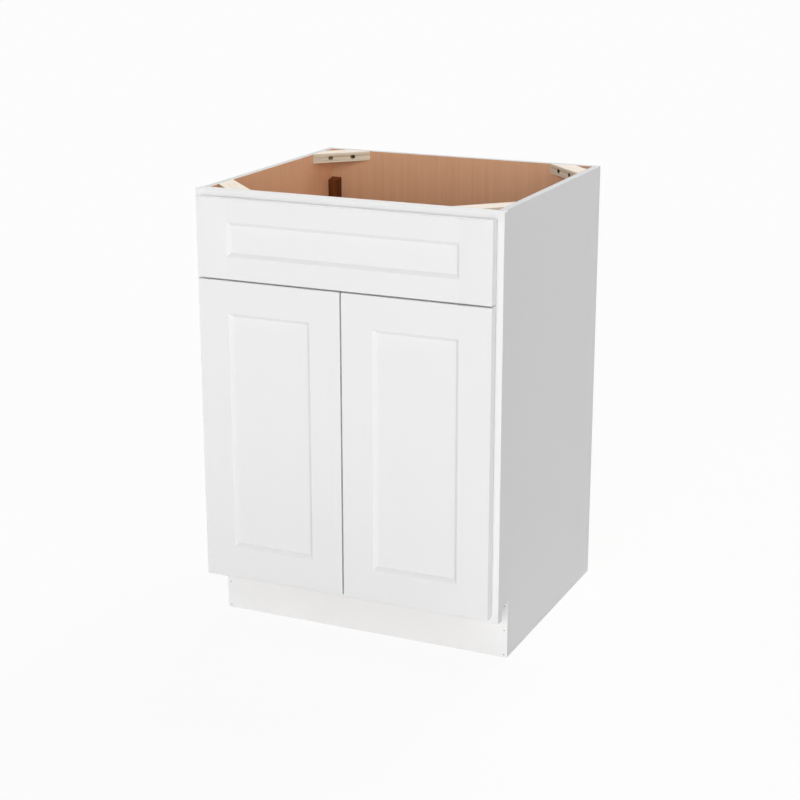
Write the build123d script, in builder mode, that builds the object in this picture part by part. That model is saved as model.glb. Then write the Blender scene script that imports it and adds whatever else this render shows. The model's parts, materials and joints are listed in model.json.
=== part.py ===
from build123d import *
from math import sqrt
import os

os.makedirs("parts", exist_ok=True)

# Vanity base cabinet: a plywood box behind a hardwood face frame, a fixed false front and two doors.
# Millimetres. X runs from left to right, Y from front to back, Z up.
# The origin is the middle of the whole cabinet's footprint, on the floor.
# Left-hand pieces are modelled, and each right-hand piece is its left-hand twin mirrored about X = 0.

# Cabinet
cabinet_width = 609.6
cabinet_height = 857.25
cabinet_depth = 539.75

# Plywood box
side_thickness = 12.7
bottom_thickness = 12.7
back_thickness = 12.7
frame_overhang = 6.35
bottom_groove_depth = 6.35
back_rabbet_depth = 6.35

# Face frame
frame_thickness = 19.05
stile_width = 38.1
top_rail_width = 38.1
mid_rail_width = 38.1
bottom_rail_width = 38.1
frame_foot = 95.25
side_groove_depth = 6.35
tenon_length = 16.0
tenon_thickness = 6.35
tenon_shoulder = 6.35
mortise_end_gap = 0.5

# Toe space
notch_height = 112.0
notch_depth = 77.5
toe_board_thickness = 12.7
toe_board_top_gap = 0.8
nail_heights = (5.6, 54.4, 103.8)
nail_shank_radius = 0.7
nail_head_radius = 1.2
nail_head_height = 1.2
nail_set_depth = 0.5
nail_length = 38.0
nail_clearance = 0.05

# Corner braces under the countertop
brace_height = 19.05
brace_width = 38.1
brace_reach = 87.6
pocket_inset = 38.0
pocket_radius = 3.9
brace_grip = 10.0
brace_screw_bite = 9.5

# Upright corner cleats at the back
cleat_width = 21.0
cleat_depth = 20.0
cleat_top_drop = 58.25
cleat_top_slope = 4.0

# Doors and false front
door_thickness = 19.05
bumper_height = 2.45
side_reveal = 12.7
top_reveal = 12.0
bottom_reveal = 13.0
door_gap = 3.0
front_gap = 3.0
false_front_height = 149.8
member_face = 61.5
false_front_rail_face = 42.6
bevel_width = 6.35
panel_recess = 6.35
panel_thickness = 6.35
sticking_lip = 0.8
panel_groove_depth = 10.0
panel_float = 0.5
eased_edge = 1.2
bumper_radius = 4.0
bumper_sides = 12
bumper_inset = 8.0

# Blocks that hold the false front from behind the frame
block_width = 40.0
block_thickness = 19.05
block_spacing = 300.0
block_overlap = 12.0
block_screw_inset = 7.0
block_screw_bite = 12.0

# Concealed hinges: cup in the door, arm and plate on the frame
hinge_inset = 90.0
pivot_from_edge = 6.6
pivot_depth = 10.05
pin_radius = 1.1
pin_length = 16.4
pin_running_clearance = 0.05
pin_press_clearance = 0.02
pin_end_gap = 0.1
cup_radius = 17.5
cup_sides = 36
cup_from_edge = 3.0
cup_depth = 13.6
cup_wall = 0.8
cup_bore_clearance = 0.05
cheek_height = 2.7
cheek_clearance = 0.3
flange_thickness = 1.2
flange_margin = 1.2
flange_from_pivot = 8.0
ear_width = 12.0
ear_overhang = 5.0
ear_corner = 3.0
cup_screw_offset = 9.5
cup_screw_spacing = 45.0
knuckle_radius = 2.0
arm_width = 8.0
arm_thickness = 1.5
arm_dip = 0.35
arm_neck = 12.2
arm_bend_radius = 2.5
foot_height = 14.0
foot_end_gap = 2.0
foot_corner = 2.5
plate_thickness = 2.0
plate_height = 40.0
plate_edge_gap = 1.5
plate_corner = 2.0
plate_screw_spacing = 28.0

# Screws: one wood screw for the braces and blocks, a smaller one for the hinges
wood_screw_radius = 2.0
wood_screw_head_radius = 3.6
wood_screw_head_height = 2.4
hinge_screw_radius = 1.75
hinge_screw_head_radius = 3.2
hinge_screw_head_height = 1.8
cup_screw_length = 13.0
plate_screw_length = 16.0
screw_clearance = 0.05
fastener_sides = 6

# Planes that several pieces share
front_standoff = door_thickness + bumper_height
overall_depth = cabinet_depth + front_standoff
frame_front = front_standoff - overall_depth / 2
frame_back = frame_front + frame_thickness
frame_middle = frame_front + frame_thickness / 2
cabinet_back = frame_front + cabinet_depth
back_inner = cabinet_back - back_thickness
door_front = frame_front - front_standoff
door_back = door_front + door_thickness

frame_left = -cabinet_width / 2
stile_inner = frame_left + stile_width
side_outer = frame_left + frame_overhang
side_inner = side_outer + side_thickness
side_middle = side_outer + side_thickness / 2
side_front = frame_back - side_groove_depth

floor_top = frame_foot + bottom_rail_width
top_rail_low = cabinet_height - top_rail_width
cleat_top = cabinet_height - cleat_top_drop

door_left = frame_left + side_reveal
door_right = -door_gap / 2
false_front_high = cabinet_height - top_reveal
false_front_low = false_front_high - false_front_height
front_gap_height = false_front_low - front_gap / 2
door_high = front_gap_height - front_gap / 2
door_low = frame_foot + bottom_reveal
mid_rail_low = front_gap_height - mid_rail_width / 2
mid_rail_high = mid_rail_low + mid_rail_width


def save(piece, name):
    """Label a finished piece and write it."""
    piece.part.label = name
    export_step(piece.part, "parts/" + name + ".step")


def mirrored(piece, about=Plane.YZ):
    """The opposite-hand twin of a piece."""
    with BuildPart() as twin:
        mirror(piece.part, about=about)
    return twin


def block(x_range, y_range, z_range):
    """A square-edged board between two values on each axis."""
    with BuildPart() as board:
        with BuildSketch(Plane.XY.offset(z_range[0])):
            with Locations(((x_range[0] + x_range[1]) / 2, (y_range[0] + y_range[1]) / 2)):
                Rectangle(x_range[1] - x_range[0], y_range[1] - y_range[0])
        extrude(amount=z_range[1] - z_range[0])
    return board


def wood_screw(shank_radius, head_radius, head_height, length):
    """A screw along Z with the underside of its head at Z = 0."""
    with BuildPart() as screw:
        with BuildSketch(Plane.XY):
            RegularPolygon(head_radius, fastener_sides)
        extrude(amount=head_height)
        with BuildSketch(Plane.XY):
            RegularPolygon(shank_radius, fastener_sides)
        extrude(amount=-length)
    return screw


def placed(screw, seats):
    """Copies of a screw or nail at the given seats, as one group."""
    with BuildPart() as group:
        with Locations(*seats):
            add(screw.part)
    return group


def drilled(piece, seats, radius, depth):
    """A piece with a hole at each seat, as deep under the seat as the screw is long."""
    with BuildPart() as with_holes:
        add(piece.part)
        with BuildSketch(*seats):
            RegularPolygon(radius + screw_clearance, fastener_sides)
        extrude(amount=-(depth + screw_clearance), mode=Mode.SUBTRACT)
    return with_holes


def both_hands(seats):
    """The seats with their mirror images on the right."""
    right = [
        Plane(
            origin=(-seat.origin.X, seat.origin.Y, seat.origin.Z),
            z_dir=(-seat.z_dir.X, seat.z_dir.Y, seat.z_dir.Z),
        )
        for seat in seats
    ]
    return [*seats, *right]


# Screw seats: each plane lies under a screw's head, with its Z axis pointing back out of the work
pocket_across = pocket_inset / sqrt(2)
pocket_along = brace_reach - pocket_across
pocket_z = cabinet_height - brace_height / 2


def brace_seats(corner_y, inward):
    """The two seats in a left-hand brace: one screw enters the side, the other the frame or the back."""
    into_side = Plane(
        origin=(side_inner + brace_grip, corner_y + inward * pocket_along, pocket_z),
        z_dir=(1, 0, 0),
    )
    into_end = Plane(
        origin=(side_inner + pocket_along, corner_y + inward * brace_grip, pocket_z),
        z_dir=(0, inward, 0),
    )
    return into_side, into_end


front_side_seat, front_frame_seat = brace_seats(frame_back, 1)
rear_side_seat, rear_back_seat = brace_seats(back_inner, -1)
brace_screw_length = brace_grip + brace_screw_bite

block_screw_x = -block_spacing / 2
block_back = frame_back + block_thickness
block_screw_length = block_back - door_back + block_screw_bite
block_seats = [
    Plane(origin=(block_screw_x, block_back, z), z_dir=(0, 1, 0))
    for z in (mid_rail_high + block_screw_inset, top_rail_low - block_screw_inset)
]

nail_seats = [
    Plane(origin=(side_middle, frame_front + notch_depth - toe_board_thickness, z), z_dir=(0, -1, 0))
    for z in nail_heights
]

pivot_x = door_left + pivot_from_edge
pivot_y = door_back - pivot_depth
cup_x = door_left + cup_from_edge + cup_radius
plate_face = stile_inner + plate_thickness
foot_face = plate_face + arm_thickness
hinge_heights = {"upper": door_high - hinge_inset, "lower": door_low + hinge_inset}

cup_seats = [
    Plane(
        origin=(cup_x + cup_screw_offset, door_back + flange_thickness, z + offset_z),
        z_dir=(0, 1, 0),
    )
    for z in hinge_heights.values()
    for offset_z in (-cup_screw_spacing / 2, cup_screw_spacing / 2)
]
plate_seats = [
    Plane(origin=(plate_face, frame_middle, z + offset_z), z_dir=(1, 0, 0))
    for z in hinge_heights.values()
    for offset_z in (-plate_screw_spacing / 2, plate_screw_spacing / 2)
]
arm_seats = [
    Plane(origin=(foot_face, frame_middle, z), z_dir=(1, 0, 0)) for z in hinge_heights.values()
]


# Plywood box
with BuildPart() as left_side_panel:
    with BuildSketch(Plane.YZ.offset(side_outer)):
        with BuildLine():
            Polyline(
                (frame_front + notch_depth, 0),
                (frame_front + notch_depth, notch_height),
                (side_front, notch_height),
                (side_front, cabinet_height),
                (cabinet_back, cabinet_height),
                (cabinet_back, 0),
                close=True,
            )
        make_face()
    extrude(amount=side_thickness)
    with BuildSketch(Plane.YZ.offset(side_inner)):
        with Locations(((frame_back + back_inner) / 2, floor_top - bottom_thickness / 2)):
            Rectangle(back_inner - frame_back, bottom_thickness)
    extrude(amount=-bottom_groove_depth, mode=Mode.SUBTRACT)
    with BuildSketch(Plane.YZ.offset(side_inner)):
        with Locations((cabinet_back - back_thickness / 2, cabinet_height / 2)):
            Rectangle(back_thickness, cabinet_height)
    extrude(amount=-back_rabbet_depth, mode=Mode.SUBTRACT)
    with BuildSketch(*nail_seats):
        RegularPolygon(nail_shank_radius + nail_clearance, fastener_sides)
    extrude(amount=-(nail_length + nail_clearance), mode=Mode.SUBTRACT)

left_side_panel = drilled(
    left_side_panel, [front_side_seat, rear_side_seat], wood_screw_radius, brace_screw_length
)
right_side_panel = mirrored(left_side_panel)

bottom_half_width = -side_inner + bottom_groove_depth
bottom_panel = block(
    (-bottom_half_width, bottom_half_width),
    (frame_back, back_inner),
    (floor_top - bottom_thickness, floor_top),
)

back_half_width = -side_inner + back_rabbet_depth
back_panel = drilled(
    block((-back_half_width, back_half_width), (back_inner, cabinet_back), (0, cabinet_height)),
    both_hands([rear_back_seat]),
    wood_screw_radius,
    brace_screw_length,
)


# Face frame: rails with tenons between two stiles
def tenon_range(rail_low, rail_width):
    """The heights between which a rail's tenon lies."""
    return rail_low + tenon_shoulder, rail_low + rail_width - tenon_shoulder


rails = {
    "bottom_rail": (frame_foot, bottom_rail_width),
    "mid_rail": (mid_rail_low, mid_rail_width),
    "top_rail": (top_rail_low, top_rail_width),
}

with BuildPart() as left_stile:
    with BuildSketch(Plane.XY.offset(frame_foot)):
        with Locations((frame_left + stile_width / 2, frame_middle)):
            Rectangle(stile_width, frame_thickness)
        with Locations((side_middle, frame_back - side_groove_depth / 2)):
            Rectangle(side_thickness, side_groove_depth, mode=Mode.SUBTRACT)
    extrude(amount=cabinet_height - frame_foot)
    with BuildSketch(Plane.YZ.offset(stile_inner)):
        for rail_low, rail_width in rails.values():
            tenon_low, tenon_high = tenon_range(rail_low, rail_width)
            with Locations((frame_middle, (tenon_low + tenon_high) / 2)):
                Rectangle(tenon_thickness, tenon_high - tenon_low)
    extrude(amount=-(tenon_length + mortise_end_gap), mode=Mode.SUBTRACT)

left_stile = drilled(left_stile, plate_seats, hinge_screw_radius, plate_screw_length)
right_stile = mirrored(left_stile)


def frame_rail(rail_low, rail_width):
    """A rail between the stiles with a tenon at each end."""
    tenon_low, tenon_high = tenon_range(rail_low, rail_width)
    with BuildPart() as rail:
        with BuildSketch(Plane.XY.offset(rail_low)):
            with Locations((0, frame_middle)):
                Rectangle(-2 * stile_inner, frame_thickness)
        extrude(amount=rail_width)
        with BuildSketch(Plane.XY.offset(tenon_low)):
            with Locations((0, frame_middle)):
                Rectangle(2 * (tenon_length - stile_inner), tenon_thickness)
        extrude(amount=tenon_high - tenon_low)
    return rail


bottom_rail = frame_rail(*rails["bottom_rail"])
mid_rail = frame_rail(*rails["mid_rail"])
top_rail = drilled(
    frame_rail(*rails["top_rail"]),
    both_hands([front_frame_seat]),
    wood_screw_radius,
    brace_screw_length,
)


# Toe kick, nailed to the front edges of the side panels
with BuildPart() as toe_kick_board:
    with BuildSketch(Plane.XY):
        with Locations((0, frame_front + notch_depth - toe_board_thickness / 2)):
            Rectangle(-2 * side_outer, toe_board_thickness)
    extrude(amount=notch_height - toe_board_top_gap)
    with BuildSketch(*both_hands(nail_seats)):
        RegularPolygon(nail_head_radius + nail_clearance, fastener_sides)
    extrude(amount=-(nail_set_depth + nail_head_height), mode=Mode.SUBTRACT)
    with BuildSketch(*both_hands(nail_seats)):
        RegularPolygon(nail_shank_radius + nail_clearance, fastener_sides)
    extrude(amount=-nail_length, mode=Mode.SUBTRACT)

with BuildPart() as nail:
    with BuildSketch(Plane.XY.offset(-nail_set_depth)):
        RegularPolygon(nail_head_radius, fastener_sides)
    extrude(amount=-nail_head_height)
    with BuildSketch(Plane.XY.offset(-nail_set_depth)):
        RegularPolygon(nail_shank_radius, fastener_sides)
    extrude(amount=nail_set_depth - nail_length)

toe_kick_nails = placed(nail, both_hands(nail_seats))


# Corner braces: blocks across the corners at 45 degrees, with pocket holes for two screws each
def corner_brace(corner_y, inward, side_seat, end_seat):
    """A left-hand brace in the corner of the side panel and the plane Y = corner_y."""
    near_leg = brace_reach - brace_width * sqrt(2)
    pocket_depth = brace_reach - pocket_along + pocket_radius - brace_grip
    with BuildPart() as brace:
        with BuildSketch(Plane.XY.offset(cabinet_height - brace_height)):
            with BuildLine():
                Polyline(
                    (side_inner + near_leg, corner_y),
                    (side_inner + brace_reach, corner_y),
                    (side_inner, corner_y + inward * brace_reach),
                    (side_inner, corner_y + inward * near_leg),
                    close=True,
                )
            make_face()
        extrude(amount=brace_height)
        for seat in (side_seat, end_seat):
            with Locations(seat.offset(pocket_depth)):
                Hole(pocket_radius, depth=pocket_depth)
    return drilled(brace, [side_seat, end_seat], wood_screw_radius, brace_screw_length)


front_left_brace = corner_brace(frame_back, 1, front_side_seat, front_frame_seat)
rear_left_brace = corner_brace(back_inner, -1, rear_side_seat, rear_back_seat)
front_right_brace = mirrored(front_left_brace)
rear_right_brace = mirrored(rear_left_brace)

brace_screw = wood_screw(
    wood_screw_radius, wood_screw_head_radius, wood_screw_head_height, brace_screw_length
)
brace_screws = placed(
    brace_screw,
    both_hands([front_side_seat, front_frame_seat, rear_side_seat, rear_back_seat]),
)


# Upright cleats in the back corners, with sloping tops
with BuildPart() as rear_left_cleat:
    with BuildSketch(Plane.YZ.offset(side_inner)):
        with BuildLine():
            Polyline(
                (back_inner, floor_top),
                (back_inner, cleat_top),
                (back_inner - cleat_depth, cleat_top - cleat_top_slope),
                (back_inner - cleat_depth, floor_top),
                close=True,
            )
        make_face()
    extrude(amount=cleat_width)

rear_right_cleat = mirrored(rear_left_cleat)


# Five-piece fronts: coped rails between bevelled stiles, round a flat panel in grooves
def member_section(face):
    """Corners of a member's section as (distance from its outer edge, depth from its face)."""
    width = face + bevel_width
    groove_floor = width - panel_groove_depth
    return [
        (0, 0),
        (face, 0),
        (width, panel_recess - sticking_lip),
        (width, panel_recess),
        (groove_floor, panel_recess),
        (groove_floor, panel_recess + panel_thickness),
        (width, panel_recess + panel_thickness),
        (width, door_thickness),
        (0, door_thickness),
    ]


def front_stile(x_left, z_low, z_high):
    """The left-hand stile of a front, with its outer edges eased."""
    section = member_section(member_face)
    with BuildPart() as stile:
        with BuildSketch(Plane.XY.offset(z_low)):
            with BuildLine():
                Polyline(
                    *[(x_left + across, door_front + depth) for across, depth in section],
                    close=True,
                )
            make_face()
        extrude(amount=z_high - z_low)
        face_edges = stile.faces().sort_by(Axis.Y)[0].edges().sort_by(Axis.X)
        fillet(face_edges[:-1], radius=eased_edge)
    return stile


def front_rail(x_left, x_right, z_low, face):
    """The bottom rail of a front: its section along X, its ends coped over the stiles' bevels."""
    cope = member_section(member_face)[1:-1]
    left_end = [(x_left + across, door_front + depth) for across, depth in cope]
    right_end = [(x_right - across, door_front + depth) for across, depth in reversed(cope)]
    with BuildPart() as rail:
        with BuildSketch(Plane.XY.offset(z_low)):
            with BuildLine():
                Polyline(*left_end, *right_end, close=True)
            make_face()
        extrude(amount=face + bevel_width)
        with BuildSketch(Plane.YZ.offset(x_left)):
            with BuildLine():
                Polyline(
                    *[(door_front + depth, z_low + across) for across, depth in member_section(face)],
                    close=True,
                )
            make_face()
        extrude(amount=x_right - x_left, mode=Mode.INTERSECT)
        fillet(rail.faces().sort_by(Axis.Y)[0].edges().sort_by(Axis.Z)[0], radius=eased_edge)
    return rail


def front_panel(x_left, x_right, z_low, z_high, rail_face):
    """The flat panel, a little smaller than the space between the grooves."""
    stile_groove = member_face + bevel_width - panel_groove_depth + panel_float
    rail_groove = rail_face + bevel_width - panel_groove_depth + panel_float
    panel_front = door_front + panel_recess
    return block(
        (x_left + stile_groove, x_right - stile_groove),
        (panel_front, panel_front + panel_thickness),
        (z_low + rail_groove, z_high - rail_groove),
    )


def bumpers(places):
    """Round soft pads between a front's back and the face frame, at (x, z) places."""
    with BuildPart() as pads:
        with BuildSketch(Plane.XZ.offset(-frame_front)):
            with Locations(*places):
                RegularPolygon(bumper_radius, bumper_sides)
        extrude(amount=bumper_height)
    return pads


false_front_middle = Plane.XY.offset((false_front_low + false_front_high) / 2)
false_front_left_stile = front_stile(door_left, false_front_low, false_front_high)
false_front_right_stile = mirrored(false_front_left_stile)
plain_rail = front_rail(door_left, -door_left, false_front_low, false_front_rail_face)
false_front_bottom_rail = drilled(
    plain_rail, both_hands(block_seats[:1]), wood_screw_radius, block_screw_length
)
false_front_top_rail = drilled(
    mirrored(plain_rail, about=false_front_middle),
    both_hands(block_seats[1:]),
    wood_screw_radius,
    block_screw_length,
)
false_front_panel = front_panel(
    door_left, -door_left, false_front_low, false_front_high, false_front_rail_face
)
false_front_bumpers = bumpers(
    [
        (x, z)
        for x in (door_left + bumper_inset, -door_left - bumper_inset)
        for z in (false_front_low + bumper_inset, false_front_high - bumper_inset)
    ]
)

# The blocks bridge the opening behind the false front, and their long screws pull it to the frame
false_front_left_block = drilled(
    block(
        (block_screw_x - block_width / 2, block_screw_x + block_width / 2),
        (frame_back, block_back),
        (mid_rail_high - block_overlap, top_rail_low + block_overlap),
    ),
    block_seats,
    wood_screw_radius,
    block_screw_length,
)
false_front_right_block = mirrored(false_front_left_block)

block_screw = wood_screw(
    wood_screw_radius, wood_screw_head_radius, wood_screw_head_height, block_screw_length
)
false_front_screws = placed(block_screw, both_hands(block_seats))


# Left door
door_middle_x = Plane.YZ.offset((door_left + door_right) / 2)
door_middle_z = Plane.XY.offset((door_low + door_high) / 2)
plain_stile = front_stile(door_left, door_low, door_high)

with BuildPart() as bored_stile:
    add(plain_stile.part)
    for height in hinge_heights.values():
        with Locations(Plane(origin=(cup_x, door_back, height), z_dir=(0, 1, 0))):
            Hole(cup_radius + cup_bore_clearance, depth=cup_depth)

left_door_hinge_stile = drilled(bored_stile, cup_seats, hinge_screw_radius, cup_screw_length)
left_door_lock_stile = mirrored(plain_stile, about=door_middle_x)
left_door_bottom_rail = front_rail(door_left, door_right, door_low, member_face)
left_door_top_rail = mirrored(left_door_bottom_rail, about=door_middle_z)
left_door_panel = front_panel(door_left, door_right, door_low, door_high, member_face)
left_door_bumpers = bumpers(
    [(door_right - bumper_inset, z) for z in (door_low + bumper_inset, door_high - bumper_inset)]
)


# Concealed hinges: the cup turns with the door about a pin in the knuckle of the fixed arm
def cut_rectangle(width, height, corner):
    """A rectangle with its corners cut off, in the current sketch."""
    with BuildSketch(mode=Mode.PRIVATE) as outline:
        Rectangle(width, height)
        chamfer(outline.vertices(), corner)
    add(outline.sketch)


def hinge_cup(z):
    """The cup in the door: a round bowl with a slot between two cheeks that hold the pin, and a flange."""
    mouth = Plane(origin=(cup_x, door_back, z), x_dir=(1, 0, 0), z_dir=(0, 1, 0))
    bowl_radius = cup_radius - cup_wall
    open_depth = pivot_depth - cheek_height
    cheek_gap = arm_width / 2 + cheek_clearance
    flange_edge = pivot_x - cup_x + flange_from_pivot
    with BuildPart() as cup:
        with BuildSketch(mouth):
            RegularPolygon(cup_radius, cup_sides)
        extrude(amount=-cup_depth)
        with BuildSketch(mouth):
            RegularPolygon(cup_radius + flange_margin, cup_sides)
            with Locations((cup_screw_offset, 0)):
                cut_rectangle(ear_width, cup_screw_spacing + 2 * ear_overhang, ear_corner)
            with Locations((flange_edge - cup_radius, 0)):
                Rectangle(2 * cup_radius, 2 * cup_screw_spacing, mode=Mode.SUBTRACT)
        extrude(amount=flange_thickness)
        with BuildSketch(mouth.offset(flange_thickness)):
            RegularPolygon(bowl_radius, cup_sides)
        extrude(amount=-flange_thickness - open_depth, mode=Mode.SUBTRACT)
        with BuildSketch(mouth.offset(-open_depth)):
            RegularPolygon(bowl_radius, cup_sides)
            Rectangle(2 * cup_radius, 2 * cheek_gap, mode=Mode.INTERSECT)
        extrude(amount=-(cup_depth - cup_wall - open_depth), mode=Mode.SUBTRACT)
        with Locations((pivot_x, pivot_y, z)):
            Cylinder(pin_radius + pin_press_clearance, pin_length + 2 * pin_end_gap, mode=Mode.SUBTRACT)
    return drilled(cup, cup_seats, hinge_screw_radius, cup_screw_length)


def hinge_arm(z):
    """The arm on the frame: a knuckle round the pin, a neck out of the cup's mouth, a foot on the plate."""
    strip_y = pivot_y - knuckle_radius + arm_thickness / 2
    neck_x = pivot_x + arm_neck
    foot_x = plate_face + arm_thickness / 2
    neck_y = strip_y - arm_dip
    foot_start = frame_front + plate_edge_gap
    foot_end = frame_back - foot_end_gap
    with BuildPart() as arm:
        with BuildSketch(Plane.XY.offset(z - arm_width / 2)):
            with BuildLine():
                FilletPolyline(
                    (pivot_x, strip_y),
                    (neck_x, neck_y),
                    (foot_x, neck_y + foot_x - neck_x),
                    (foot_x, foot_end - foot_corner),
                    radius=arm_bend_radius,
                )
            trace(line_width=arm_thickness)
            with Locations((pivot_x, pivot_y)):
                Circle(knuckle_radius)
                Circle(pin_radius + pin_running_clearance, mode=Mode.SUBTRACT)
        extrude(amount=arm_width)
        with BuildSketch(Plane.YZ.offset(plate_face)):
            with Locations(((foot_start + foot_end) / 2, z)):
                cut_rectangle(foot_end - foot_start, foot_height, foot_corner)
        extrude(amount=arm_thickness)
    return drilled(arm, arm_seats, hinge_screw_radius, arm_thickness)


def hinge_plate(z):
    """The base plate on the stile's inner edge."""
    with BuildPart() as plate:
        with BuildSketch(Plane.YZ.offset(stile_inner)):
            with Locations((frame_middle, z)):
                cut_rectangle(frame_thickness - 2 * plate_edge_gap, plate_height, plate_corner)
        extrude(amount=plate_thickness)
    return drilled(plate, plate_seats + arm_seats, hinge_screw_radius, plate_thickness + arm_thickness)


with BuildPart() as left_hinge_pins:
    with Locations(*[(pivot_x, pivot_y, height) for height in hinge_heights.values()]):
        Cylinder(pin_radius, pin_length)

cup_screw = wood_screw(
    hinge_screw_radius, hinge_screw_head_radius, hinge_screw_head_height, cup_screw_length
)
plate_screw = wood_screw(
    hinge_screw_radius, hinge_screw_head_radius, hinge_screw_head_height, plate_screw_length
)
arm_screw = wood_screw(
    hinge_screw_radius,
    hinge_screw_head_radius,
    hinge_screw_head_height,
    arm_thickness + plate_thickness,
)
left_hinge_cup_screws = placed(cup_screw, cup_seats)
left_hinge_plate_screws = placed(plate_screw, plate_seats)
left_hinge_arm_screws = placed(arm_screw, arm_seats)


# Every piece is written under its own name
single_pieces = {
    "left_side_panel": left_side_panel,
    "right_side_panel": right_side_panel,
    "bottom_panel": bottom_panel,
    "back_panel": back_panel,
    "left_stile": left_stile,
    "right_stile": right_stile,
    "top_rail": top_rail,
    "mid_rail": mid_rail,
    "bottom_rail": bottom_rail,
    "toe_kick_board": toe_kick_board,
    "toe_kick_nails": toe_kick_nails,
    "front_left_brace": front_left_brace,
    "front_right_brace": front_right_brace,
    "rear_left_brace": rear_left_brace,
    "rear_right_brace": rear_right_brace,
    "brace_screws": brace_screws,
    "rear_left_cleat": rear_left_cleat,
    "rear_right_cleat": rear_right_cleat,
    "false_front_left_stile": false_front_left_stile,
    "false_front_right_stile": false_front_right_stile,
    "false_front_top_rail": false_front_top_rail,
    "false_front_bottom_rail": false_front_bottom_rail,
    "false_front_panel": false_front_panel,
    "false_front_bumpers": false_front_bumpers,
    "false_front_left_block": false_front_left_block,
    "false_front_right_block": false_front_right_block,
    "false_front_screws": false_front_screws,
}
for name, piece in single_pieces.items():
    save(piece, name)

# A door and its hinges have a twin on the right
left_pieces = {
    "door_hinge_stile": left_door_hinge_stile,
    "door_lock_stile": left_door_lock_stile,
    "door_top_rail": left_door_top_rail,
    "door_bottom_rail": left_door_bottom_rail,
    "door_panel": left_door_panel,
    "door_bumpers": left_door_bumpers,
    "hinge_pins": left_hinge_pins,
    "hinge_cup_screws": left_hinge_cup_screws,
    "hinge_plate_screws": left_hinge_plate_screws,
    "hinge_arm_screws": left_hinge_arm_screws,
}
for level, height in hinge_heights.items():
    left_pieces[level + "_hinge_cup"] = hinge_cup(height)
    left_pieces[level + "_hinge_arm"] = hinge_arm(height)
    left_pieces[level + "_hinge_plate"] = hinge_plate(height)

for name, piece in left_pieces.items():
    save(piece, "left_" + name)
    save(mirrored(piece), "right_" + name)
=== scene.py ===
import json
import math

import bmesh
import bpy
from mathutils import Matrix, Vector


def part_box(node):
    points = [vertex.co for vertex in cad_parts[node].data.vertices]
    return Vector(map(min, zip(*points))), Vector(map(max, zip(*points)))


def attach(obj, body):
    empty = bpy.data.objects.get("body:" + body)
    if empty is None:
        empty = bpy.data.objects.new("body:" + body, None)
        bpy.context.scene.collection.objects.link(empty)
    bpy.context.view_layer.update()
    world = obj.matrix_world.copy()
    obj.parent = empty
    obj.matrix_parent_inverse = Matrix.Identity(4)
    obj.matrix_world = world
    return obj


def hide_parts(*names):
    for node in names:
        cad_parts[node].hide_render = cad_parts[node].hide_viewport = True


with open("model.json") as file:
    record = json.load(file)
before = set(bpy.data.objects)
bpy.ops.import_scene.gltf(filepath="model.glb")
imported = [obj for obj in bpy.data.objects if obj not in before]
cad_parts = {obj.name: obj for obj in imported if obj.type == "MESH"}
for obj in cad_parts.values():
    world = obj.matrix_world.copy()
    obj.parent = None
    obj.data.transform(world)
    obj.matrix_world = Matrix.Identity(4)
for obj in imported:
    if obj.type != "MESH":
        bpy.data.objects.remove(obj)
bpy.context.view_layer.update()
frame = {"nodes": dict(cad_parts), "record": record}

# Vanity base cabinet: white painted front and frame, maple-coloured box, concealed hinges.
# Metres, in the frame of the solids: X to the right, Y to the back, Z up.
nodes = frame["nodes"]
record = frame["record"]
body_of = {name: body for body, names in record["behaviour"]["bodies"].items() for name in names}
hands = ("left", "right")
levels = ("upper", "lower")
ways = {"x": (1, 0, 0), "y": (0, 1, 0), "z": (0, 0, 1)}

# Rounding of sanded and stamped edges
wood_ease = 0.0008
soft_ease = 0.0006
metal_ease = 0.00025
wood_steps = 3
metal_steps = 2

# What counts as one point, one place, one flat face, and a crisp corner
weld = 0.000001
near = 0.00002
cut_digits = 6
seat_digits = 5
flat_angle = math.radians(1)
crisp_angle = math.radians(32)

# How strongly the larger faces set the shading at a rounded edge
large_faces_lead = 100

# How much of a face's normal lies along the way that it looks
squarely = 0.9
half_way = 0.5
sloping = 0.3
off_diagonal = 0.2

# Facets of holes are smaller than this, and their edges shorter
largest_bore_facet = 0.0002
longest_bore_edge = 0.03

# Turned hardware: sides of each round, and the rings of its crown as (rise, narrowing)
screw_sides = 24
nail_sides = 20
pad_sides = 32
drill_sides = 24
drill_slack = 1.04
tip_narrowing = 0.2
screw_crown = ((0.25, 0.94), (0.2, 0.88), (0.13, 0.8), (0.07, 0.6))
nail_crown = ((0.2, 0.86), (0.0, 0.5), (-0.3, 0.4))
pad_crown = ((0.22, 0.96), (0.17, 0.92), (0.11, 0.88), (0.05, 0.84))

# The photograph's viewpoint, from a camera fitted to its straight edges
view_lens = 80.164
view_sensor = 36.0
view_reach = 100.0
view_from = (1.38023, -3.06801, 1.42218)
view_turn = (73.34202, 0.04607, 24.34664)


# ---- Finishes ----
def add(tree, kind, inputs=None, **settings):
    """Put a node in a tree, with its settings, and its inputs linked or set."""
    made = tree.nodes.new(kind)
    for setting, value in settings.items():
        setattr(made, setting, value)
    for socket, value in (inputs or {}).items():
        if isinstance(value, bpy.types.NodeSocket):
            tree.links.new(value, made.inputs[socket])
        else:
            made.inputs[socket].default_value = value
    return made


def new_finish(name, **constants):
    """A material with its surface shader, whose constant sockets are set here."""
    finish = bpy.data.materials.new(name)
    finish.use_nodes = True
    surface = finish.node_tree.nodes["Principled BSDF"]
    for socket, value in constants.items():
        surface.inputs[socket.replace("_", " ")].default_value = value
    return finish, finish.node_tree, surface


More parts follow.
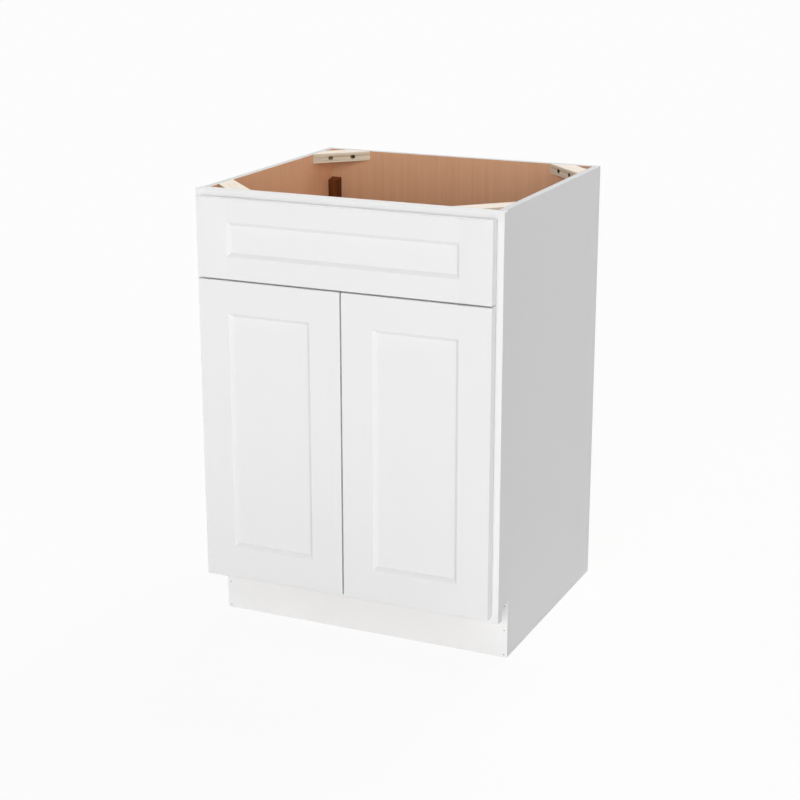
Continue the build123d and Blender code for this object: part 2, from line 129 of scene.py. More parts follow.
def place_on_piece(tree, turn=0.0, stretch=(1, 1, 1)):
    """Object coordinates, turned about Z and stretched."""
    here = add(tree, "ShaderNodeTexCoord").outputs["Object"]
    turned = add(tree, "ShaderNodeMapping", {"Vector": here, "Rotation": (0, 0, turn)})
    return add(tree, "ShaderNodeMapping", {"Vector": turned.outputs[0], "Scale": stretch}).outputs[0]


def noise(tree, where, scale=1, detail=3.0, distortion=0.0):
    """A cloudy 0 to 1 pattern. Scale and stretch count its changes per metre."""
    inputs = {"Vector": where, "Scale": scale, "Detail": detail, "Distortion": distortion}
    return add(tree, "ShaderNodeTexNoise", inputs).outputs[0]


def between(tree, value, low, high, from_low=0.3, from_high=0.7):
    """Spread a 0 to 1 pattern between two values."""
    inputs = {"Value": value, "From Min": from_low, "From Max": from_high, "To Min": low, "To Max": high}
    return add(tree, "ShaderNodeMapRange", inputs).outputs[0]


def calc(tree, operation, first, second=0.0):
    """One sum with two values or patterns."""
    return add(tree, "ShaderNodeMath", {0: first, 1: second}, operation=operation).outputs[0]


def weighted(tree, *parts):
    """The sum of patterns, each times its weight."""
    total = 0.0
    for pattern, weight in parts:
        total = calc(tree, "ADD", total, calc(tree, "MULTIPLY", pattern, weight))
    return total


def colours(tree, value, stops):
    """A colour that changes with a 0 to 1 value, at (place, colour) stops."""
    ramp = add(tree, "ShaderNodeValToRGB", {0: value})
    marks = ramp.color_ramp.elements
    while len(marks) < len(stops):
        marks.new(0.5)
    for mark, (place, colour) in zip(marks, stops):
        mark.position = place
        mark.color = (*colour, 1)
    return ramp.outputs[0]


def bumps(tree, surface, layers):
    """Stack (height, depth) patterns into the surface's normal."""
    below = None
    for height, depth in layers:
        inputs = {"Height": height, "Distance": depth, "Strength": 1.0}
        if below is not None:
            inputs["Normal"] = below
        below = add(tree, "ShaderNodeBump", inputs).outputs[0]
    tree.links.new(below, surface.inputs["Normal"])


def dress(tree, surface, tint, stops, sheen, rough, relief):
    """Colour by one pattern, roughness by another, and fine relief."""
    tree.links.new(colours(tree, tint, stops), surface.inputs["Base Color"])
    tree.links.new(between(tree, sheen, *rough), surface.inputs["Roughness"])
    bumps(tree, surface, relief)


def along_grain(tree, grain, across, along):
    """Object coordinates with one pattern density across the grain and another along it."""
    stretch = [along if part else across for part in ways[grain]]
    return place_on_piece(tree, stretch=stretch)


def white_paint(name, grain, light=0.84, darkest=0.993, lightest=1.006):
    """Sprayed satin paint over close-grained hardwood."""
    finish, tree, surface = new_finish(name)
    here = place_on_piece(tree)
    cloud = noise(tree, here, scale=9, detail=2)
    peel = noise(tree, here, scale=620, detail=2)
    pores = noise(tree, along_grain(tree, grain, across=420, along=9), detail=4)
    stops = [(0.3, [light * darkest] * 3), (0.7, [light * lightest] * 3)]
    relief = [(peel, 0.00002), (pores, 0.00003), (cloud, 0.00008)]
    tint = weighted(tree, (cloud, 0.7), (pores, 0.3))
    dress(tree, surface, tint, stops, peel, (0.38, 0.47), relief)
    return finish


def maple_face(name, grain, tone=1.0):
    """Clear-coated maple veneer with fine straight grain. tone lightens a whole sheet."""
    finish, tree, surface = new_finish(name)
    fine = noise(tree, along_grain(tree, grain, across=760, along=7), detail=4)
    streak = noise(tree, along_grain(tree, grain, across=170, along=2.4), detail=3, distortion=0.3)
    band = noise(tree, along_grain(tree, grain, across=13, along=0.9), detail=2, distortion=0.8)
    stops = [(0.36, (0.55, 0.30, 0.163)), (0.5, (0.59, 0.33, 0.188)), (0.64, (0.62, 0.358, 0.208))]
    stops = [(place, [part * tone for part in colour]) for place, colour in stops]
    tint = weighted(tree, (fine, 0.5), (streak, 0.25), (band, 0.25))
    dress(tree, surface, tint, stops, fine, (0.42, 0.56), [(fine, 0.00003), (streak, 0.00005)])
    return finish


def ply_edge(name, axis, ply=0.00145):
    """The glued layers on a cut edge of plywood, stacked along one axis."""
    finish, tree, surface = new_finish(name)
    here = add(tree, "ShaderNodeTexCoord").outputs["Object"]
    through = add(tree, "ShaderNodeSeparateXYZ", {0: here}).outputs["xyz".index(axis)]
    wander = noise(tree, here, scale=60, detail=2)
    pairs = calc(tree, "DIVIDE", through, 2 * ply)
    layer = calc(tree, "PINGPONG", weighted(tree, (pairs, 1.0), (wander, 0.15)), 0.5)
    fibre = noise(tree, here, scale=900, detail=3)
    stops = [(0.2, (0.38, 0.22, 0.12)), (0.4, (0.55, 0.37, 0.22)), (0.75, (0.72, 0.55, 0.36))]
    tint = weighted(tree, (layer, 1.5), (fibre, 0.35))
    dress(tree, surface, tint, stops, fibre, (0.62, 0.8), [(fibre, 0.00012), (layer, 0.00008)])
    return finish


def bare_pine(name, turn, stops, sway=0.5):
    """Softwood with early and late wood running along the brace."""
    finish, tree, surface = new_finish(name)
    along, across, through = 4 + 20 * sway, 210, 230
    rings = noise(tree, place_on_piece(tree, turn, (along, across, through)), detail=2, distortion=sway)
    fibre = noise(tree, place_on_piece(tree, turn, (40, 1500, 1500)), detail=3)
    tint = weighted(tree, (rings, 0.7), (fibre, 0.3))
    dress(tree, surface, tint, stops, fibre, (0.55, 0.72), [(fibre, 0.00006), (rings, 0.0001)])
    return finish


def brace_pine(way, turn, shaded_bore):
    """The finishes of a brace: its sides, darker from saw marks and painted shade, its top, lighter from
    planing and painted light, and its pocket holes, dark with painted shade.
    """
    sawn_and_shaded_side = bare_pine("sawn_pine_and_shade_" + way, turn, sawn_and_shaded, sway=0.05)
    planed_and_lit_top = bare_pine("planed_pine_and_light_" + way, turn, planed_and_lit)
    return [sawn_and_shaded_side, planed_and_lit_top, shaded_bore]


def dark_stain(name, light=1.0, veil=0.02):
    """Dark brown stain on coarse-grained wood, nearly flat. light pales it: painted light, as on the
    cleat's lit top.
    """
    finish, tree, surface = new_finish(name, Specular_IOR_Level=0.2)
    fibre = noise(tree, along_grain(tree, "z", across=700, along=22), detail=4)
    streak = noise(tree, along_grain(tree, "z", across=160, along=6), detail=3, distortion=0.4)
    stops = [(0.36, (0.055, 0.009, 0.0005)), (0.5, (0.105, 0.022, 0.0015)), (0.66, (0.18, 0.05, 0.008))]
    stops = [(place, [part * light + veil * (light - 1) for part in colour]) for place, colour in stops]
    tint = weighted(tree, (fibre, 0.5), (streak, 0.5))
    dress(tree, surface, tint, stops, fibre, (0.5, 0.7), [(fibre, 0.00008), (streak, 0.0001)])
    return finish


def plated_metal(name, dull, bright, rough, scale=300):
    """Plated steel with a faint drawn texture and patches of duller plating."""
    finish, tree, surface = new_finish(name, Metallic=1.0)
    patch = noise(tree, place_on_piece(tree), scale=scale, detail=3)
    drawn = noise(tree, along_grain(tree, "z", across=2400, along=160), detail=2)
    stops = [(0.35, dull), (0.65, bright)]
    dress(tree, surface, patch, stops, drawn, rough, [(drawn, 0.000008), (patch, 0.00002)])
    return finish


def clear_rubber(name):
    """Clear soft bumper, slightly cloudy."""
    finish, tree, surface = new_finish(name, Transmission_Weight=0.55, IOR=1.47)
    cloud = noise(tree, place_on_piece(tree), scale=500, detail=3)
    stops = [(0.3, (0.74, 0.75, 0.74)), (0.7, (0.86, 0.87, 0.86))]
    dress(tree, surface, cloud, stops, cloud, (0.22, 0.4), [(cloud, 0.00002)])
    return finish


paint_upright = white_paint("white_paint_upright_grain", "z")
paint_across = white_paint("white_paint_cross_grain", "x")
# A darker white that paints the shade on side faces; also used on the stiles' outer faces, the back's edges
# and the toe board's ends
shade_painted_white = white_paint("white_side_skin_painted_shade", "z", light=0.66)
# A whiter paint on the toe board's front: painted light, standing in for the bounce off the floor
toe_white_painted_light = white_paint("white_toe_board_painted_light", "x", light=0.91)
maple_upright = maple_face("maple_upright_grain", "z")
# The side panels' inner maple, lightened by tone: painted light
maple_side_painted_light = maple_face("maple_side_sheet_painted_light", "z", tone=1.45)
maple_across = maple_face("maple_cross_grain", "x")
layers_across_thickness = {axis: ply_edge("plywood_layers_" + axis, axis) for axis in "yz"}
# Brace pine: tops lighter from planing and partly painted light, sides darker from sawing and partly
# painted shade
planed_and_lit = [(0.32, (0.76, 0.62, 0.46)), (0.44, (0.90, 0.79, 0.665)), (0.6, (0.93, 0.845, 0.745))]
sawn_and_shaded = [(0.34, (0.48, 0.375, 0.26)), (0.48, (0.68, 0.59, 0.455)), (0.64, (0.79, 0.715, 0.585))]
# Near-black pine inside the pocket holes: painted shade in the hollow
bore_shade_stops = [(0.3, (0.05, 0.033, 0.02)), (0.5, (0.10, 0.07, 0.045)), (0.7, (0.17, 0.125, 0.085))]
bore_with_painted_shade = bare_pine("pine_bore_painted_shade", 0, bore_shade_stops)
pine_rising = brace_pine("rising", -math.pi / 4, bore_with_painted_shade)
pine_falling = brace_pine("falling", math.pi / 4, bore_with_painted_shade)
stain = dark_stain("dark_stained_cleat")
stained_ends_painted_light = dark_stain("dark_stain_ends_painted_light", light=1.6)
nickel = plated_metal("hinge_nickel_plate", (0.55, 0.53, 0.50), (0.72, 0.70, 0.67), (0.2, 0.34))
pin_steel = plated_metal("hinge_pin_bright_steel", (0.5, 0.5, 0.5), (0.66, 0.66, 0.66), (0.14, 0.24))
zinc = plated_metal("screw_zinc_plate", (0.48, 0.48, 0.46), (0.68, 0.68, 0.65), (0.28, 0.42), scale=700)
nail_steel = plated_metal("dark_nail_steel", (0.10, 0.095, 0.09), (0.2, 0.19, 0.18), (0.4, 0.6), scale=900)
rubber = clear_rubber("clear_soft_bumper")


# ---- Shapes ----
def closed_copy(node):
    """A welded copy of a solid's mesh, with its flat faces joined."""
    shape = bmesh.new()
    shape.from_mesh(nodes[node].data)
    bmesh.ops.remove_doubles(shape, verts=shape.verts, dist=weld)
    bmesh.ops.dissolve_limit(shape, angle_limit=flat_angle, verts=shape.verts, edges=shape.edges)
    return shape


def limits(names):
    """The lowest and highest corner of several solids together."""
    ends = [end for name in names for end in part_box(name)]
    low = Vector([min(end[axis] for end in ends) for axis in range(3)])
    high = Vector([max(end[axis] for end in ends) for axis in range(3)])
    return low, high


def is_corner(edge):
    """Whether an edge sticks out, at a clear angle."""
    return len(edge.link_faces) == 2 and edge.is_convex and edge.calc_face_angle() > crisp_angle


def lies_on(edge, box):
    """Whether an edge runs along one of a box's twelve edges."""
    low, high = box
    middle = (edge.verts[0].co + edge.verts[1].co) / 2
    planes = 0
    for axis in range(3):
        if not low[axis] - near <= middle[axis] <= high[axis] + near:
            return False
        for plane in (low[axis], high[axis]):
            planes += all(abs(vert.co[axis] - plane) < near for vert in edge.verts)
    return planes >= 2


def corners(shape, *boxes):
    """A shape's corner edges: all of them, or those that run along the given boxes."""
    found = [edge for edge in shape.edges if is_corner(edge)]
    if boxes:
        found = [edge for edge in found if any(lies_on(edge, box) for box in boxes)]
    return found


def ease(shape, edges, width, steps=wood_steps):
    """Round the given edges."""
    bmesh.ops.bevel(
        shape, geom=list(edges), offset=width, offset_type="OFFSET", segments=steps,
        profile=0.5, affect="EDGES", clamp_overlap=True,
    )


def looks_along(face, axis, way=None):
    """Whether a face looks along an axis, either way, or only towards its plus (1) or minus (-1) end."""
    share = face.normal["xyz".index(axis)]
    return (abs(share) if way is None else share * way) > squarely


def smooth_mesh(mesh):
    """Shade curves smooth while flat faces stay flat and crisp edges crisp."""
    mesh.shade_smooth()
    mesh.set_sharp_from_angle(angle=crisp_angle)
    carrier = bpy.data.objects.new("carrier", mesh)
    bpy.context.scene.collection.objects.link(carrier)
    normals = carrier.modifiers.new("flat faces", "WEIGHTED_NORMAL")
    normals.keep_sharp = True
    normals.weight = large_faces_lead
    depsgraph = bpy.context.evaluated_depsgraph_get()
    smoothed = bpy.data.meshes.new_from_object(carrier.evaluated_get(depsgraph))
    bpy.data.objects.remove(carrier)
    return smoothed


def stand_in(mesh, node):
    """The finished piece for a solid: it hides the solid and moves with its body."""
    piece = bpy.data.objects.new(node + "_finished", mesh)
    bpy.context.scene.collection.objects.link(piece)
    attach(piece, body_of[node])
    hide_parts(node)
    return piece


def finished(shape, node, finishes, choose=None):
    """Turn a shape into the finished piece for a node. choose says which finish a face has."""
    mesh = bpy.data.meshes.new(node + "_finished")
    shape.to_mesh(mesh)
    shape.free()
    mesh = smooth_mesh(mesh)
    mesh.materials.clear()
    for finish in finishes:
        mesh.materials.append(finish)
    for face in mesh.polygons:
        face.material_index = int(choose(face)) if choose else 0
    return stand_in(mesh, node)


def cut_at(shape, axis, places):
    """Divide the faces at planes, so that an edge can be rounded up to them."""
    normal = Vector(ways[axis])
    for place in places:
        whole = shape.verts[:] + shape.edges[:] + shape.faces[:]
        bmesh.ops.bisect_plane(shape, geom=whole, dist=weld, plane_co=normal * place, plane_no=normal)


def eased_board(node, boxes, finishes, width=wood_ease, choose=None):
    """A board whose edges along the given boxes are rounded."""
    shape = closed_copy(node)
    low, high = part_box(node)
    for i, axis in enumerate(ways):
        places = {round(end[i], cut_digits) for box in boxes for end in box}
        cut_at(shape, axis, [place for place in places if low[i] + near < place < high[i] - near])
    ease(shape, corners(shape, *boxes), width)
    return finished(shape, node, finishes, choose)


def face_frame():
    """Stiles and rails, rounded along the frame's outside and its two openings."""
    rails = ("top_rail", "mid_rail", "bottom_rail")
    stiles = ("left_stile", "right_stile")
    whole = limits(stiles)
    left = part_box("left_stile")[1].x
    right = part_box("right_stile")[0].x
    boxes = [whole]
    for upper, lower in zip(rails, rails[1:]):
        low = Vector((left, whole[0].y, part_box(lower)[1].z))
        high = Vector((right, whole[1].y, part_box(upper)[0].z))
        boxes.append((low, high))
    for stile, outward in zip(stiles, (-1, 1)):
        # Each stile's outward face takes the darker white: painted shade
        eased_board(
            stile, boxes, [paint_upright, shade_painted_white],
            choose=lambda face, outward=outward: looks_along(face, "x", outward),
        )
    for rail in rails:
        eased_board(rail, boxes, [paint_across])


def five_piece_front(prefix, members):
    """The members of a door or of the false front, rounded along its outside."""
    names = [prefix + member for member in members]
    whole = limits(names)
    for name in names:
        upright = "stile" in name or "door_panel" in name
        eased_board(name, [whole], [paint_upright if upright else paint_across], soft_ease)


def plywood_sides():
    """Side panels: white skin outside and on the edges, darkened as painted shade, and maple inside,
    lightened as painted light.
    """
    for hand, inward in zip(hands, (1, -1)):
        node = hand + "_side_panel"
        low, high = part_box(node)
        low.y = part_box("left_stile")[1].y
        shape = closed_copy(node)
        cut_at(shape, "y", [low.y])
        ease(shape, corners(shape, (low, high)), soft_ease)
        finished(
            shape, node, [shade_painted_white, maple_side_painted_light],
            lambda face, inward=inward: looks_along(face, "x", inward),
        )


def plywood_back_and_floor():
    """The back with its white top edge, darkened as painted shade, and the floor."""
    shape = closed_copy("back_panel")
    ease(shape, corners(shape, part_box("back_panel")), soft_ease)
    finished(shape, "back_panel", [shade_painted_white, maple_upright], lambda face: looks_along(face, "y"))
    shape = closed_copy("bottom_panel")
    finished(
        shape, "bottom_panel", [layers_across_thickness["z"], maple_across],
        lambda face: looks_along(face, "z"),
    )


def side_of_brace(face, low, high):
    """Which finish a brace's face has: the sides as left by the saw 0, with painted shade; the top,
    smoothed by planing, 1, with painted light; or inside a pocket hole 2, with painted shade.
    """
    along = face.normal
    if along.z > half_way and face.center.z > high.z - wood_ease:
        return 1
    inside = low.z + 2 * wood_ease < face.center.z < high.z - 2 * wood_ease
    turned = abs(abs(along.x) - abs(along.y)) > off_diagonal or abs(along.z) > half_way
    return 2 if inside and turned and face.area < largest_bore_facet else 0


def runs_with_brace(edge):
    """Whether an edge is one of a brace's long ones, at 45 degrees in plan."""
    way = edge.verts[0].co - edge.verts[1].co
    return edge.calc_length() > longest_bore_edge and abs(abs(way.x) - abs(way.y)) < near


def diagonal_braces():
    """Corner braces with their long edges rounded."""
    for node in [name for name in nodes if name.endswith("_brace")]:
        shape = closed_copy(node)
        ease(shape, [edge for edge in corners(shape) if runs_with_brace(edge)], wood_ease)
        rising = node in ("front_right_brace", "rear_left_brace")
        pine = pine_rising if rising else pine_falling
        low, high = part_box(node)
        finished(shape, node, pine, lambda face, low=low, high=high: side_of_brace(face, low, high))


def small_woodwork():
    """Cleats and the blocks behind the false front."""
    for hand in hands:
        node = "rear_" + hand + "_cleat"
        shape = closed_copy(node)
        ease(shape, corners(shape), wood_ease)
        # The cleat's top and bottom take the paler stain: painted light on its top
        finished(shape, node, [stain, stained_ends_painted_light], lambda face: abs(face.normal.z) > sloping)
        node = "false_front_" + hand + "_block"
        shape = closed_copy(node)
        ease(shape, corners(shape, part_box(node)), soft_ease)
        finished(
            shape, node, [layers_across_thickness["y"], maple_upright],
            lambda face: looks_along(face, "y"),
        )


def hinge_stampings():
    """Cups, arms and plates with the soft edges of plated stampings, and the pins."""
    for hand in hands:
        for level in levels:
            for kind in ("cup", "arm", "plate"):
                node = hand + "_" + level + "_hinge_" + kind
                shape = closed_copy(node)
                ease(shape, corners(shape), metal_ease, metal_steps)
                finished(shape, node, [nickel])
        nodes[hand + "_hinge_pins"].material_slots[0].material = pin_steel


# ---- Small round hardware, made where the solids have it ----
def loose_solids(node):
    """The corner points of each separate solid in a node."""
    shape = closed_copy(node)
    left = dict.fromkeys(shape.verts)
    groups = []
    while left:
        reached = [next(iter(left))]
        del left[reached[0]]
        group = []
        while reached:
            vert = reached.pop()
            group.append(vert.co.copy())
            for edge in vert.link_edges:
                other = edge.other_vert(vert)
                if other in left:
                    del left[other]
                    reached.append(other)
        groups.append(group)
    shape.free()
    return groups


def seat_of(points):
    """Where a small round part sits: its seat, the way its head faces, and its sizes."""
    values = [sorted({round(point[axis], seat_digits) for point in points}) for axis in range(3)]
    axis = min(range(3), key=lambda i: len(values[i]))
    middle = Vector([(values[i][0] + values[i][-1]) / 2 for i in range(3)])

    def spread(level):
        """The radius of the part at one level along its axis."""
        away = [p - middle for p in points if abs(p[axis] - level) < near]
        return max(math.hypot(*[d[i] for i in range(3) if i != axis]) for d in away)

    first, last = values[axis][0], values[axis][-1]
    head, tip = (last, first) if spread(last) >= spread(first) else (first, last)
    has_shank = len(values[axis]) == 3
    seat_level = values[axis][1] if has_shank else tip
    seat = middle.copy()
    seat[axis] = seat_level
    facing = Vector([0.0, 0.0, 0.0])
    facing[axis] = 1.0 if head > tip else -1.0
    return {
        "seat": seat, "facing": facing, "head radius": spread(head), "shank radius": spread(tip),
        "head height": abs(head - seat_level), "length": abs(seat_level - tip),
    }


def new_tree(name, sizes):
    """An empty node tree that takes seats, named sizes and a finish."""
    tree = bpy.data.node_groups.new(name, "GeometryNodeTree")
    sockets = tree.interface
    sockets.new_socket("seats", in_out="INPUT", socket_type="NodeSocketGeometry")
    for label in sizes:
        sockets.new_socket(label, in_out="INPUT", socket_type="NodeSocketFloat")
    sockets.new_socket("finish", in_out="INPUT", socket_type="NodeSocketMaterial")
    sockets.new_socket("pieces", in_out="OUTPUT", socket_type="NodeSocketGeometry")
    return tree, add(tree, "NodeGroupInput").outputs


def step(tree, mesh, face, rise, scale):
    """Pull a face out and scale it: the next ring of a turned shape."""
    pulled = add(
        tree, "GeometryNodeExtrudeMesh",
        {"Mesh": mesh, "Selection": face, "Offset Scale": rise, "Individual": False}, mode="FACES",
    )
    mesh, face = pulled.outputs["Mesh"], pulled.outputs["Top"]
    inputs = {"Geometry": mesh, "Selection": face, "Scale": scale}
    scaled = add(tree, "GeometryNodeScaleElements", inputs, domain="FACE")
    return scaled.outputs[0], face


def crown(tree, mesh, top, height, rings):
    """Rings on top of a turned shape, each a share of the height further out."""
    for rise, narrowing in rings:
        mesh, top = step(tree, mesh, top, calc(tree, "MULTIPLY", height, rise), narrowing)
    return mesh


def shank(tree, mesh, bottom, given, straight, taper):
    """The shank under a head: straight, then tapered to its tip, as shares of its length."""
    inset = calc(tree, "DIVIDE", given["shank radius"], given["head radius"])
    mesh, bottom = step(tree, mesh, bottom, 0.0, inset)
    for share, narrowing in ((straight, 1.0), (taper, tip_narrowing)):
        mesh, bottom = step(tree, mesh, bottom, calc(tree, "MULTIPLY", given["length"], share), narrowing)
    return mesh


def put_on_seats(tree, given, mesh):
    """Copies of the mesh on all seats, facing outwards, as real faces with their finish."""
    facing = add(tree, "GeometryNodeInputNamedAttribute", {"Name": "facing"}, data_type="FLOAT_VECTOR")
    turn = add(tree, "FunctionNodeAlignRotationToVector", {"Vector": facing.outputs["Attribute"]}, axis="Z")
    copies = add(
        tree, "GeometryNodeInstanceOnPoints",
        {"Points": given["seats"], "Instance": mesh, "Rotation": turn.outputs[0]},
    )
    real = add(tree, "GeometryNodeRealizeInstances", {0: copies.outputs[0]}).outputs[0]
    painted = add(tree, "GeometryNodeSetMaterial", {"Geometry": real, "Material": given["finish"]})
    add(tree, "NodeGroupOutput", {0: painted.outputs[0]})


def turned_blank(tree, radius, whole_height, share, sides):
    """A disc that stands on the seat, a share of the part's height thick, with its top and bottom faces."""
    height = calc(tree, "MULTIPLY", whole_height, share)
    disc = add(
        tree, "GeometryNodeMeshCylinder",
        {"Vertices": sides, "Radius": radius, "Depth": height}, fill_type="NGON",
    )
    lift = add(tree, "ShaderNodeCombineXYZ", {2: calc(tree, "MULTIPLY", height, 0.5)}).outputs[0]
    moved = add(tree, "GeometryNodeTransform", {"Geometry": disc.outputs["Mesh"], "Translation": lift})
    return moved.outputs[0], disc.outputs["Top"], disc.outputs["Bottom"]


def cross_recess(tree, given, mesh):
    """Cut two crossed slots into a screw's head."""
    arm_length = calc(tree, "MULTIPLY", given["head radius"], 1.15)
    arm_width = calc(tree, "MULTIPLY", given["head radius"], 0.24)
    arm_depth = calc(tree, "MULTIPLY", given["head height"], 1.1)
    lift = add(tree, "ShaderNodeCombineXYZ", {2: given["head height"]}).outputs[0]
    cut = add(tree, "GeometryNodeMeshBoolean", {"Mesh 1": mesh}, operation="DIFFERENCE")
    for first, second in ((arm_length, arm_width), (arm_width, arm_length)):
        size = add(tree, "ShaderNodeCombineXYZ", {0: first, 1: second, 2: arm_depth}).outputs[0]
        bar = add(tree, "GeometryNodeMeshCube", {"Size": size}).outputs["Mesh"]
        raised = add(tree, "GeometryNodeTransform", {"Geometry": bar, "Translation": lift}).outputs[0]
        tree.links.new(raised, cut.inputs["Mesh 2"])
    return cut.outputs["Mesh"]


def screw_tree():
    """A domed screw head with a cross recess, and a shank with a point."""
    tree, given = new_tree("cross recess screw", ("head radius", "head height", "shank radius", "length"))
    height = given["head height"]
    mesh, top, bottom = turned_blank(tree, given["head radius"], height, 0.35, screw_sides)
    mesh = crown(tree, mesh, top, height, screw_crown)
    mesh = shank(tree, mesh, bottom, given, straight=0.82, taper=0.17)
    put_on_seats(tree, given, cross_recess(tree, given, mesh))
    return tree


def nail_tree():
    """A small flat nail head with a dimple, and its shank."""
    tree, given = new_tree("set nail", ("head radius", "head height", "shank radius", "length"))
    height = given["head height"]
    mesh, top, bottom = turned_blank(tree, given["head radius"], height, 0.8, nail_sides)
    mesh = crown(tree, mesh, top, height, nail_crown)
    mesh = shank(tree, mesh, bottom, given, straight=0.95, taper=0.05)
    put_on_seats(tree, given, mesh)
    return tree


def bumper_tree():
    """A round pad with a domed rim and a flat crown."""
    tree, given = new_tree("soft bumper", ("head radius", "length"))
    mesh, top = turned_blank(tree, given["head radius"], given["length"], 0.45, pad_sides)[:2]
    put_on_seats(tree, given, crown(tree, mesh, top, given["length"], pad_crown))
    return tree


def grown(tree, node, finish):
    """Run a tree on the seats of a node's solids, and stand the result in for the node."""
    seats = [seat_of(points) for points in loose_solids(node)]
    carrier_mesh = bpy.data.meshes.new("seats")
    carrier_mesh.from_pydata([seat["seat"] for seat in seats], [], [])
    facing = carrier_mesh.attributes.new("facing", "FLOAT_VECTOR", "POINT")
    for item, seat in zip(facing.data, seats):
        item.vector = seat["facing"]
    carrier = bpy.data.objects.new("seats", carrier_mesh)
    bpy.context.scene.collection.objects.link(carrier)
    modifier = carrier.modifiers.new("parts", "NODES")
    modifier.node_group = tree
    for socket in tree.interface.items_tree:
        if socket.in_out == "INPUT" and socket.name in seats[0]:
            modifier[socket.identifier] = seats[0][socket.name]
        if socket.in_out == "INPUT" and socket.name == "finish":
            modifier[socket.identifier] = finish
    carrier.update_tag()
    depsgraph = bpy.context.evaluated_depsgraph_get()
    mesh = bpy.data.meshes.new_from_object(carrier.evaluated_get(depsgraph))
    bpy.data.objects.remove(carrier)
    mesh = smooth_mesh(mesh)
    mesh.name = node + "_finished"
    return stand_in(mesh, node)


def round_hardware():
    """Screws, nails and bumpers."""
    screws = screw_tree()
    nails = nail_tree()
    pads = bumper_tree()
    for node in sorted(nodes):
        if node.endswith("screws"):
            grown(screws, node, zinc)
        if node.endswith("nails"):
            grown(nails, node, nail_steel)
        if node.endswith("bumpers"):
            grown(pads, node, rubber)


def object_from(shape, name):
    """Put a shape into the scene as an object."""
    mesh = bpy.data.meshes.new(name)
    shape.to_mesh(mesh)
    shape.free()
    made = bpy.data.objects.new(name, mesh)
    bpy.context.scene.collection.objects.link(made)
    return made


def nail_drills(front):
    """Round rods where the nail holes go, from in front of the board to the nails' seats."""
    drills = bmesh.new()
    upright_to_deep = Matrix.Rotation(math.pi / 2, 4, "X")
    for points in loose_solids("toe_kick_nails"):
        nail = seat_of(points)
        seat = nail["seat"]
        radius = nail["head radius"] * drill_slack
        middle = Vector((seat.x, (front + seat.y) / 2 - wood_ease, seat.z))
        bmesh.ops.create_cone(
            drills, cap_ends=True, segments=drill_sides, radius1=radius, radius2=radius,
            depth=seat.y - front + 2 * wood_ease, matrix=Matrix.Translation(middle) @ upright_to_deep,
        )
    return drills


def toe_board():
    """The toe kick board, with round nail holes instead of the solid's flat-sided ones."""
    low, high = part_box("toe_kick_board")
    shape = bmesh.new()
    bmesh.ops.create_cube(shape, size=1)
    for vert in shape.verts:
        vert.co = Vector([(low[i] + high[i]) / 2 + vert.co[i] * (high[i] - low[i]) for i in range(3)])
    ease(shape, shape.edges[:], wood_ease)
    board = object_from(shape, "board")
    cutter = object_from(nail_drills(low.y), "drills")
    holes = board.modifiers.new("holes", "BOOLEAN")
    holes.object = cutter
    holes.operation = "DIFFERENCE"
    depsgraph = bpy.context.evaluated_depsgraph_get()
    mesh = bpy.data.meshes.new_from_object(board.evaluated_get(depsgraph))
    bpy.data.objects.remove(board)
    bpy.data.objects.remove(cutter)
    mesh = smooth_mesh(mesh)
    mesh.materials.clear()
    for finish in (toe_white_painted_light, shade_painted_white):
        mesh.materials.append(finish)
    for face in mesh.polygons:
        # The board's front takes the lighter white (painted light), its ends the darker white (painted
        # shade)
        face.material_index = int(looks_along(face, "x") and face.area > largest_bore_facet)
    mesh.name = "toe_kick_board_finished"
    stand_in(mesh, "toe_kick_board")


# ---- Studio ----
pure_white = (1, 1, 1, 1)


def seen_directly(tree):
    """1 for rays that show the surroundings: to the camera, off metal or through clear pads."""
    path = add(tree, "ShaderNodeLightPath").outputs
    seen = calc(tree, "MAXIMUM", path["Is Camera Ray"], path["Is Glossy Ray"])
    return calc(tree, "MAXIMUM", seen, path["Is Transmission Ray"])


def white_surroundings(level):
    """A white backdrop that gives only this level of light."""
    world = bpy.data.worlds.new("studio")
    bpy.context.scene.world = world
    world.use_nodes = True
    tree = world.node_tree
    tree.nodes.clear()
    light = add(tree, "ShaderNodeBackground", {"Color": pure_white, "Strength": level})
    white = add(tree, "ShaderNodeBackground", {"Color": pure_white, "Strength": 1.0})
    share = seen_directly(tree)
    mixed = add(tree, "ShaderNodeMixShader", {0: share, 1: light.outputs[0], 2: white.outputs[0]})
    add(tree, "ShaderNodeOutputWorld", {"Surface": mixed.outputs[0]})


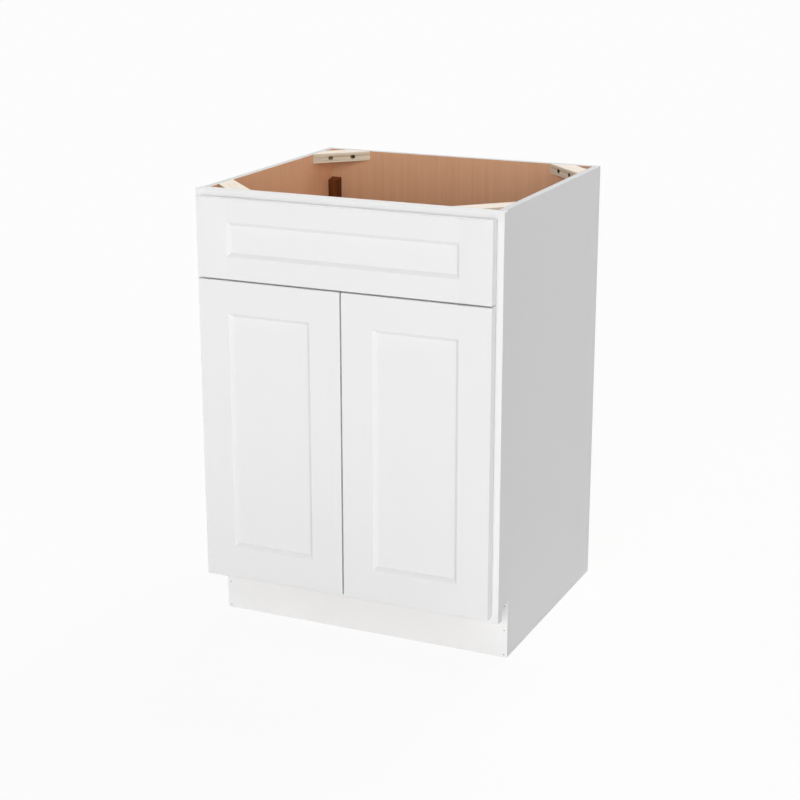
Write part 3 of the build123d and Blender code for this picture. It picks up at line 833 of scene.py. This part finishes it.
def pale_floor(share_white=0.92, tone=0.84, reach=30.0):
    """A plain floor: nearly white where it is fully lit, with the object's soft shadow."""
    mesh = bpy.data.meshes.new("floor")
    square = [(x * reach, y * reach, 0) for x, y in ((-1, -1), (1, -1), (1, 1), (-1, 1))]
    mesh.from_pydata(square, [], [(0, 1, 2, 3)])
    floor = bpy.data.objects.new("floor", mesh)
    bpy.context.scene.collection.objects.link(floor)
    finish = bpy.data.materials.new("pale_floor")
    finish.use_nodes = True
    tree = finish.node_tree
    tree.nodes.clear()
    matt = add(tree, "ShaderNodeBsdfDiffuse", {"Color": (tone, tone, tone, 1)})
    white = add(tree, "ShaderNodeEmission", {"Color": pure_white, "Strength": 1.0})
    share = calc(tree, "MULTIPLY", seen_directly(tree), share_white)
    mixed = add(tree, "ShaderNodeMixShader", {0: share, 1: matt.outputs[0], 2: white.outputs[0]})
    add(tree, "ShaderNodeOutputMaterial", {"Surface": mixed.outputs[0]})
    mesh.materials.append(finish)


def soft_sun(name, level, spread, source):
    """A broad even light. spread is in degrees, and source is the direction it comes from."""
    lamp = bpy.data.lights.new(name, "SUN")
    lamp.energy = level * math.pi
    lamp.angle = math.radians(spread)
    holder = bpy.data.objects.new(name, lamp)
    holder.rotation_euler = Vector(source).to_track_quat("Z", "Y").to_euler()
    bpy.context.scene.collection.objects.link(holder)


def camera():
    """The camera at the photograph's viewpoint."""
    lens = bpy.data.cameras.new("camera")
    lens.lens = view_lens
    lens.sensor_width = view_sensor
    lens.clip_end = view_reach
    holder = bpy.data.objects.new("camera", lens)
    holder.location = view_from
    holder.rotation_euler = [math.radians(angle) for angle in view_turn]
    bpy.context.scene.collection.objects.link(holder)
    bpy.context.scene.camera = holder


front_members = ("left_stile", "right_stile", "top_rail", "bottom_rail", "panel")
door_members = ("hinge_stile", "lock_stile", "top_rail", "bottom_rail", "panel")

camera()
face_frame()
five_piece_front("false_front_", front_members)
for hand in hands:
    five_piece_front(hand + "_door_", door_members)
plywood_sides()
plywood_back_and_floor()
toe_board()
diagonal_braces()
small_woodwork()
hinge_stampings()
round_hardware()

bpy.context.scene.view_settings.view_transform = "Standard"
white_surroundings(level=0.12)
pale_floor()
soft_sun("front light", level=0.465, spread=30, source=(0.15, -1.0, 0.22))
soft_sun("left light", level=0.145, spread=50, source=(-1.0, -0.15, 0.25))
soft_sun("right light", level=0.25, spread=46, source=(0.8, -0.6, 0.25))
soft_sun("rear light", level=0.62, spread=40, source=(0.1, 0.65, 0.75))
soft_sun("high right light", level=0.05, spread=40, source=(0.7, 0.3, 0.75))
soft_sun("top light", level=0.05, spread=60, source=(0.0, -0.1, 1.0))
